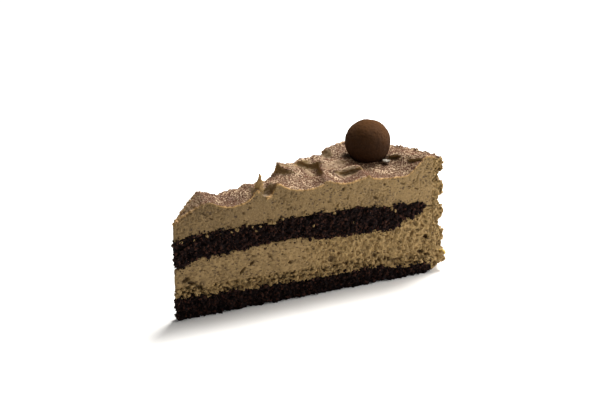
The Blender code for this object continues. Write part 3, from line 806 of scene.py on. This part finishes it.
# Soft swells that the knife left: middle in plan, half length, half width, rise
TOP_MOUNDS = (((13.0, 2.5), 6.0, 5.0, 0.9), ((7.0, 0.5), 5.0, 3.0, 0.7))

# Places where the sifted cocoa did not settle, with painted shade on the bare cream: middle in plan, half
# length, half width, turn in degrees and how bare
BARE_PLACES = (
    ((7.0, 0.0), 8.0, 5.0, 0, 0.6), ((84.5, 9.0), 2.4, 6.0, -8, 0.6), ((94.5, 3.6), 8.5, 3.0, 6, 0.5),
    ((101.0, 17.5), 2.6, 2.2, 0, 0.9), ((94.0, -9.6), 5.5, 1.4, -8, 0.9),
    ((46.2, -9.4), 4.4, 3.4, -11, 0.9),
)
# Places where it lies heavily, in the same way; the one at (93, 1) is painted shade in a hollow that faces
# away from the light
HEAVY_PLACES = (
    ((24.0, -2.0), 12.0, 7.0, -11, 0.8), ((100.0, -15.5), 16.0, 5.5, -11, 1.0),
    ((77.0, -11.0), 7.0, 4.0, -11, 0.5), ((93.0, 1.0), 11.0, 5.5, 6, 0.8), ((6.0, 0.0), 9.0, 5.0, 0, 0.8),
)

BARE_SHADE = 0.85    # painted shade on the bare cream on top, in hollows and on walls that face away from the light
SLIT_SHADE = 0.6     # how dark a slit is


def plan_of(points):
    return (points[:, 0] - CENTRE_X) / MM, (points[:, 1] - CENTRE_Y) / MM


def lift_flaps(piece):
    points = points_of(piece)
    x, y = plan_of(points)
    upward = step_up(normals_of(piece)[:, 2], 0.2, 0.5)
    heights = np.zeros(len(points))
    slits = np.zeros(len(points))
    for start, end, lift, depth, width in TOP_FLAPS:
        along = np.array(end) - np.array(start)
        length = np.hypot(*along)
        along = along / length
        share = ((x - start[0]) * along[0] + (y - start[1]) * along[1]) / length
        left = (y - start[1]) * along[0] - (x - start[0]) * along[1]
        fade = step_up(share, 0, 0.35) * step_up(share, 1, 0.7)
        heights += fade * lift * step_up(left, -0.1, 0.3) * np.exp(-np.clip(left, 0, None) / FLAP_REACH)
        slit = fade * np.exp(-((left + 0.7 * width) / width) ** 2)
        heights -= slit * depth
        if width < 1:
            slits = np.maximum(slits, step_up(slit, 0.25, 0.7))
    for middle, length, width, rise in TOP_MOUNDS:
        heights += rise * step_up(np.hypot((x - middle[0]) / length, (y - middle[1]) / width), 1.3, 0.3)
    reshape(piece, "flap", heights * upward * MM)
    paint(piece, "slit_zone", slits * upward)


def covered(points, places):
    """How far each point lies within the places, seen from above."""
    x, y = plan_of(points)
    made = np.zeros(len(points))
    for middle, length, width, turn, amount in places:
        cosine, sine = math.cos(math.radians(turn)), math.sin(math.radians(turn))
        along = ((x - middle[0]) * cosine + (y - middle[1]) * sine) / length
        across = ((y - middle[1]) * cosine - (x - middle[0]) * sine) / width
        made = np.maximum(made, amount * step_up(np.hypot(along, across), 1.2, 0.7))
    return made


# Pieces built from primitives

def joined(parts, name):
    """One piece made of several."""
    bpy.ops.object.select_all(action="DESELECT")
    for part in parts:
        part.select_set(True)
    bpy.context.view_layer.objects.active = parts[0]
    bpy.ops.object.join()
    piece = bpy.context.active_object
    piece.name = name
    return piece


def paint_evenly(piece, zone, amount):
    """One value of the cream's finish at this amount all over the piece, and the others at none."""
    for key in ZONES:
        paint(piece, key + "_zone", np.full(len(piece.data.vertices), amount if key == zone else 0.0))


# The thin tongue beside the scoop

SPIKE_PLACE = (42.25, -7.7)
SPIKE_FOOT, SPIKE_HEIGHT, SPIKE_WIDTH, SPIKE_FLATNESS = 56.6, 9.2, 4.8, 0.4
SPIKE_LEAN = (7, 2)
SPIKE_TURN = -37      # its flat side faces forward and to the left


def spike_piece():
    bpy.ops.object.select_all(action="DESELECT")
    middle = Vector((CENTRE_X, CENTRE_Y, 0)) + Vector((*SPIKE_PLACE, SPIKE_FOOT + SPIKE_HEIGHT / 2)) * MM
    bpy.ops.mesh.primitive_cone_add(vertices=24, radius1=SPIKE_WIDTH / 2 * MM, radius2=0.2 * MM,
                                    depth=SPIKE_HEIGHT * MM, rotation=(0, 0, math.radians(SPIKE_TURN)))
    piece = bpy.context.active_object
    piece.name = "pulled_tongue"
    piece.scale = (1, SPIKE_FLATNESS, 1)
    bpy.ops.object.transform_apply(location=True, rotation=True, scale=True)
    piece.rotation_euler = [math.radians(a) for a in SPIKE_LEAN] + [0]
    piece.location = middle
    bpy.ops.object.transform_apply(location=True, rotation=True, scale=True)
    resurface(piece, TONGUE_VOXEL)
    relief(piece, pattern("tongue folds", "CLOUDS", 1.6 * MM, noise_depth=2), 0.5 * MM, middle=0.6)
    soften(piece, 3)
    # the tongue takes some of the lip's colour, painted highlight included
    paint_evenly(piece, "lip", 0.3)
    return finish_piece(piece, ["top_cream"], CREAM_FINISH)


# Flaked almonds pressed into the foot of the comb

COMB_NOTCH_RADIUS, COMB_DEPTH, COMB_PITCH, COMB_FIRST_NOTCH = 137.0, 4.2, 12.2, 2.1
COMB_CREST_SHARE, COMB_BLUNTNESS, COMB_FLARE, COMB_TOP = 0.36, 0.9, 3.0, 56.1
FOOT_FILL, FOOT_FILL_BAND, FOOT_FILL_FADE = 0.8, (4.0, 18.0), 2.5
ALMOND_COUNT, ALMOND_RADIUS, ALMOND_THICKNESS, ALMOND_SEED = 13, 2.5, 1.0, 4
ALMOND_STAND = 0.5                    # how far a flake stands off the coat, in mm
ALMOND_REACH, ALMOND_DRIFT = 0.93, 0.04    # shares of half the rim
ALMOND_LEVELS, ALMOND_RISE = (10.2, 5.4, 14.2), 0.8
ALMOND_NARROWNESS = 0.72
ALMOND_TURNS = ((-35, 35), (50, 95), (-25, 25))    # limits in degrees about each axis


def comb_radius(height, share):
    """Radius of the combed coat, as the solid has it."""
    drift = noise.noise(Vector((share * 2.2, height / 40, 2)))
    turn = ((height + drift - COMB_FIRST_NOTCH) / COMB_PITCH) % 1.0
    rising, falling = turn / COMB_CREST_SHARE, (1 - turn) / (1 - COMB_CREST_SHARE)
    bulge = math.sin(min(rising, falling) * math.pi / 2) ** COMB_BLUNTNESS
    low, high = FOOT_FILL_BAND
    filled = step_up((height - low) / FOOT_FILL_FADE, 0, 1) * step_up((high - height) / FOOT_FILL_FADE, 0, 1)
    bulge = max(bulge, FOOT_FILL * float(filled))
    rough = noise.noise(Vector((share * 5.5, height / 3.1, 9)))
    return COMB_NOTCH_RADIUS + (COMB_DEPTH + COMB_FLARE * (1 - height / COMB_TOP) ** 2) * bulge + 0.55 * rough


def almond_pieces():
    """Each flake where the solid has it: a thin rounded leaf, a little uneven."""
    draw = random.Random(ALMOND_SEED)
    flakes = []
    for k in range(ALMOND_COUNT):
        share = ALMOND_REACH * (2 * k / (ALMOND_COUNT - 1) - 1)
        share += draw.uniform(-ALMOND_DRIFT, ALMOND_DRIFT)
        height = ALMOND_LEVELS[k % 3] + draw.uniform(-ALMOND_RISE, ALMOND_RISE)
        size = draw.uniform(0.85, 1.15)
        turn = [draw.uniform(*limits) for limits in ALMOND_TURNS]
        radius = comb_radius(height, share) + ALMOND_STAND
        angle = share * HALF_ANGLE
        spot = (radius * math.cos(angle), radius * math.sin(angle) + share * CUT_OFFSET / MM, height)
        bpy.ops.object.select_all(action="DESELECT")
        across = ALMOND_RADIUS * size * MM
        bpy.ops.mesh.primitive_cylinder_add(vertices=20, radius=across, depth=ALMOND_THICKNESS * MM)
        flake = bpy.context.active_object
        flake.scale = (1, ALMOND_NARROWNESS, 1)
        flake.rotation_euler = [math.radians(a) for a in turn]
        flake.location = Vector((CENTRE_X, CENTRE_Y, 0)) + Vector(spot) * MM
        bpy.ops.object.transform_apply(location=True, rotation=True, scale=True)
        flakes.append(flake)
    piece = joined(flakes, "almond_flakes")
    resurface(piece, ALMOND_VOXEL)
    soften(piece, 3)
    relief(piece, pattern("broken edges", "CLOUDS", 1.4 * MM, noise_depth=1), 0.4 * MM)
    return finish_piece(piece, ["top_cream"], ALMOND_FINISH)


# Small things strewn over the surfaces

def lump(name, levels, rough, seed):
    """A rough grain, one millimetre across, that scattering copies."""
    bpy.ops.object.select_all(action="DESELECT")
    bpy.ops.mesh.primitive_ico_sphere_add(subdivisions=levels, radius=0.5 * MM)
    piece = bpy.context.active_object
    piece.name = name
    relief(piece, pattern(name + " lumps", "CLOUDS", (0.35 + 0.05 * seed) * MM, noise_depth=1), rough)
    return piece


FULL_TURN = 6.28


def strew(surface, name, zone, per_square_mm, shape, smallest, largest, seed):
    """Copies of a grain over the surface, as thickly as its zone value says.

    Each is turned and sized at random.
    """
    piece = bpy.data.objects.new(name, surface.data.copy())
    bpy.context.collection.objects.link(piece)
    tree = bpy.data.node_groups.new(name, "GeometryNodeTree")
    for way in ("INPUT", "OUTPUT"):
        tree.interface.new_socket(name="Geometry", in_out=way, socket_type="NodeSocketGeometry")
    start = add(tree, "NodeGroupInput").outputs[0]
    where = add(tree, "GeometryNodeInputNamedAttribute", {"Name": zone}, data_type="FLOAT")
    density = maths(tree, "MULTIPLY", where.outputs["Attribute"], per_square_mm / MM ** 2)
    inputs = {"Mesh": start, "Density": density, "Seed": seed}
    found = add(tree, "GeometryNodeDistributePointsOnFaces", inputs)
    inputs = {0: (0, 0, 0), 1: (FULL_TURN, FULL_TURN, FULL_TURN), "Seed": seed + 1}
    turn = add(tree, "FunctionNodeRandomValue", inputs, data_type="FLOAT_VECTOR").outputs[0]
    inputs = {0: smallest, 1: largest, "Seed": seed + 2}
    size = add(tree, "FunctionNodeRandomValue", inputs, data_type="FLOAT_VECTOR").outputs[0]
    grain = add(tree, "GeometryNodeObjectInfo", {"Object": shape}).outputs["Geometry"]
    inputs = {"Points": found.outputs["Points"], "Instance": grain, "Rotation": turn, "Scale": size}
    laid = add(tree, "GeometryNodeInstanceOnPoints", inputs)
    tone = add(tree, "FunctionNodeRandomValue", {2: 0.0, 3: 1.0, "Seed": seed + 3}, data_type="FLOAT")
    named = {"Geometry": laid.outputs[0], "Name": "tone_zone", "Value": tone.outputs[1]}
    marked = add(tree, "GeometryNodeStoreNamedAttribute", named, data_type="FLOAT", domain="INSTANCE")
    real = add(tree, "GeometryNodeRealizeInstances", {"Geometry": marked.outputs[0]})
    tree.links.new(real.outputs[0], add(tree, "NodeGroupOutput").inputs[0])
    piece.modifiers.new("strewn grains", "NODES").node_group = tree
    apply_modifiers(piece)
    return piece


# Flecks of cream pressed into the middle sponge's front cut: radius, height and half size, in mm

SPONGE_FLECKS = (
    (47.5, 41.0, 1.0), (49.4, 40.5, 0.9), (53.9, 41.3, 0.7), (31.0, 40.3, 0.9), (40.6, 37.9, 0.6),
    (35.6, 41.5, 0.7), (38.7, 40.2, 0.5), (42.4, 39.8, 0.5), (16.2, 39.4, 0.7), (22.9, 39.5, 0.4),
    (28.1, 39.4, 0.4), (3.4, 38.7, 0.6), (9.7, 38.4, 0.4), (83.7, 43.2, 0.9), (76.6, 42.0, 0.7),
    (112.7, 37.5, 0.6), (113.9, 36.2, 0.6), (91.2, 33.9, 0.5), (70.1, 35.7, 0.6), (71.3, 41.0, 0.4),
    (80.9, 40.1, 0.5), (65.6, 42.7, 0.5), (58.8, 41.5, 0.5),
)


def fleck_piece():
    flecks = []
    for radius, height, size in SPONGE_FLECKS:
        bpy.ops.object.select_all(action="DESELECT")
        angle = -HALF_ANGLE
        spot = Vector((radius * math.cos(angle), radius * math.sin(angle), height)) * MM
        spot += Vector((CENTRE_X, CENTRE_Y - CUT_OFFSET, 0))
        bpy.ops.mesh.primitive_ico_sphere_add(subdivisions=3, radius=size * MM, location=spot)
        bpy.ops.object.transform_apply(location=True, rotation=True, scale=True)
        flecks.append(bpy.context.active_object)
    piece = joined(flecks, "cream_flecks")
    relief(piece, pattern("fleck folds", "CLOUDS", 0.8 * MM, noise_depth=1), 0.9 * MM)
    paint_evenly(piece, "torn", 0.5)
    return finish_piece(piece, ["sponge_middle"], CREAM_FINISH)


# Truffle and dab

TRUFFLE_SKIN = 0.05 * MM


def truffle_piece():
    """The ball made evenly round again, with shallow dents and a skin of cocoa."""
    piece = copy_of("truffle", "truffle_ball")
    low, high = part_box("truffle")
    resurface(piece, TRUFFLE_VOXEL)
    middle = (np.array(low) + np.array(high)) / 2
    out = points_of(piece) - middle
    away = np.linalg.norm(out, axis=1)
    radius = (high.x - low.x) / 2 - TRUFFLE_SKIN
    place_points(piece, middle + out * (radius / away)[:, None])
    relief(piece, pattern("rolled lumps", "CLOUDS", 7 * MM, noise_depth=1), 0.25 * MM)
    relief(piece, pattern("thick cocoa", "CLOUDS", 1.1 * MM, noise_depth=2), 0.2 * MM)
    keep_inside(piece, low, high)
    return finish_piece(piece, ["truffle"], TRUFFLE_FINISH)


def dab_piece():
    piece = copy_of("truffle_dab", "truffle_dab_cream")
    low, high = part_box("truffle_dab")
    resurface(piece, DAB_VOXEL)
    soften(piece, 8)
    relief(piece, pattern("dab folds", "CLOUDS", 1.3 * MM, noise_depth=2), 0.9 * MM)
    keep_inside(piece, (low.x, low.y, low.z - 1 * MM), high)
    return finish_piece(piece, ["truffle_dab"], SHADED_DAB_FINISH)


# Stage

FLOOR_SIZE, FLOOR_COLOUR = 8, (0.93, 0.925, 0.915, 1)
SKY_COLOUR, SKY_STRENGTH = (1.0, 0.985, 0.96, 1), 0.205
LIGHT_COLOUR = (1.0, 0.98, 0.95)
# Each light: the way to it from the slice, its distance, size and power
KEY_LIGHT = ((0.6, 0.2, 1.0), 0.9, 0.4, 18.0)
SIDE_LIGHT = ((1.0, -0.55, 0.4), 0.4, 0.2, 1.15)


def floor():
    bpy.ops.object.select_all(action="DESELECT")
    bpy.ops.mesh.primitive_plane_add(size=FLOOR_SIZE, location=(0, 0, 0))
    made = bpy.context.active_object
    made.name = "floor"
    finish, _, shader, _ = new_finish("pale_floor", 0.8, 0.1)
    shader.inputs["Base Color"].default_value = FLOOR_COLOUR
    made.data.materials.append(finish)


def area_light(name, direction, distance, size, power):
    data = bpy.data.lights.new(name, "AREA")
    data.size = size
    data.energy = power
    data.color = LIGHT_COLOUR
    made = bpy.data.objects.new(name, data)
    way = Vector(direction).normalized()
    made.location = CAMERA_TARGET + way * distance
    made.rotation_euler = way.to_track_quat("Z", "Y").to_euler()
    bpy.context.collection.objects.link(made)


def studio():
    world = bpy.data.worlds.new("studio")
    world.use_nodes = True
    sky = world.node_tree.nodes["Background"].inputs
    sky["Color"].default_value = SKY_COLOUR
    sky["Strength"].default_value = SKY_STRENGTH
    bpy.context.scene.world = world
    area_light("key", *KEY_LIGHT)
    area_light("side", *SIDE_LIGHT)
    bpy.context.scene.view_settings.view_transform = "Standard"


def camera():
    made = bpy.data.objects.new("camera", bpy.data.cameras.new("camera"))
    made.data.lens = CAMERA_LENS
    level = math.cos(CAMERA_ELEVATION)
    across, away = math.sin(CAMERA_AZIMUTH) * level, -math.cos(CAMERA_AZIMUTH) * level
    back = Vector((across, away, math.sin(CAMERA_ELEVATION)))
    made.location = CAMERA_TARGET + back * CAMERA_DISTANCE
    made.rotation_euler = back.to_track_quat("Z", "Y").to_euler()
    bpy.context.collection.objects.link(made)
    bpy.context.scene.camera = made


SPONGE_FINISH = sponge_finish()
CREAM_FINISH = cream_finish("mousse_cream")
TRUFFLE_FINISH = truffle_finish()
COCOA_FINISH = plain_finish(
    "cocoa_powder", (0.110, 0.047, 0.026), (0.200, 0.090, 0.050), 0.001, 0.9, 0.1 * MM)
ALMOND_FINISH = plain_finish(
    "flaked_almond", (0.640, 0.430, 0.085), (0.780, 0.590, 0.220), 0.0015, 0.55, 0.1 * MM)
# painted shadow: the white cream dab is coloured grey, as it lies in the truffle's shadow
SHADED_DAB_FINISH = plain_finish(
    "white_cream_satin", (0.19, 0.168, 0.135), (0.33, 0.30, 0.25), 0.0015, 0.5, 0.1 * MM)

# What is strewn on each solid's piece: its name, the value that says where, grains in a square mm, the grain,
# its smallest and its largest size in mm, seed, slot and finish
SPONGE_LOOSE = ("crumb_zone", 0.26, "crumb", (0.8, 0.8, 0.6), (1.9, 1.9, 1.3))
SPONGE_FINE = ("crumb_zone", 0.9, "speck", (0.4, 0.4, 0.4), (1.2, 1.2, 0.9))
STREWN = (
    ("sponge_base", "sponge_base_loose_crumb", *SPONGE_LOOSE, 20, "chocolate_sponge", SPONGE_FINISH),
    ("sponge_base", "sponge_base_fine_crumb", *SPONGE_FINE, 25, "chocolate_sponge", SPONGE_FINISH),
    ("sponge_middle", "sponge_middle_loose_crumb", *SPONGE_LOOSE, 30, "chocolate_sponge", SPONGE_FINISH),
    ("sponge_middle", "sponge_middle_fine_crumb", *SPONGE_FINE, 35, "chocolate_sponge", SPONGE_FINISH),
    ("mousse_filling", "crumbs_on_filling", "crumb_zone", 0.16, "crumb",
     (0.25, 0.25, 0.2), (1.2, 1.2, 0.8), 40, "chocolate_sponge", SPONGE_FINISH),
    ("top_cream", "crumbs_on_cream", "crumb_zone", 0.5, "crumb",
     (0.25, 0.25, 0.2), (1.3, 1.3, 0.9), 50, "chocolate_sponge", SPONGE_FINISH),
    ("mousse_filling", "torn_filling_grains", "grain_zone", 1.2, "speck",
     (0.5, 0.5, 0.4), (1.6, 1.3, 1.0), 60, "mousse", CREAM_FINISH),
    ("top_cream", "torn_coat_grains", "grain_zone", 0.8, "speck",
     (0.6, 0.6, 0.5), (1.9, 1.6, 1.2), 70, "dusted_cream", CREAM_FINISH),
    ("top_cream", "cocoa_specks", "dust_zone", 1.8, "speck",
     (0.3, 0.3, 0.12), (0.9, 0.9, 0.35), 80, "cocoa_truffle", COCOA_FINISH),
)

camera()
studio()
floor()
surfaces = {
    "sponge_base": sponge_piece("sponge_base"),
    "sponge_middle": sponge_piece("sponge_middle"),
    "mousse_filling": filling_piece(),
    "top_cream": cream_piece(),
}
truffle_piece()
dab_piece()
spike_piece()
almond_pieces()
fleck_piece()
grains = {"crumb": lump("crumb", 2, 0.5 * MM, 1), "speck": lump("speck", 1, 0.3 * MM, 2)}
for node, name, zone, density, grain, smallest, largest, seed, slot, finish in STREWN:
    made = strew(surfaces[node], name, zone, density, grains[grain], smallest, largest, seed)
    finish_piece(made, [node], finish)
for grain in grains.values():
    bpy.data.objects.remove(grain)
